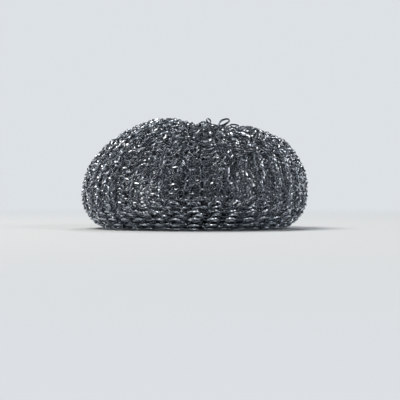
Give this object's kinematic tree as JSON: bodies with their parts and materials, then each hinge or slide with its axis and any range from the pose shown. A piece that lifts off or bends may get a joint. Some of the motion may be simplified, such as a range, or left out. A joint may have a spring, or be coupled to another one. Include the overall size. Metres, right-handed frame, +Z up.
{
  "type": "steel mesh scourer",
  "caption": "Round springy scouring cushion knitted as one sleeve from flat steel ribbon and turned in on itself, gathered to a dimple at the top.",
  "frame": {"origin": "on the table, under the middle of the cushion", "axes": "+Z up through the dimple, -Y towards the picture's camera, +X to its right"},
  "size_m": [0.0956, 0.0934, 0.0465],
  "materials": {
    "steel_ribbon": "dark bright-edged steel ribbon"
  },
  "bodies": {
    "root": {"knitted_mesh": "steel_ribbon"}
  },
  "joints": []
}
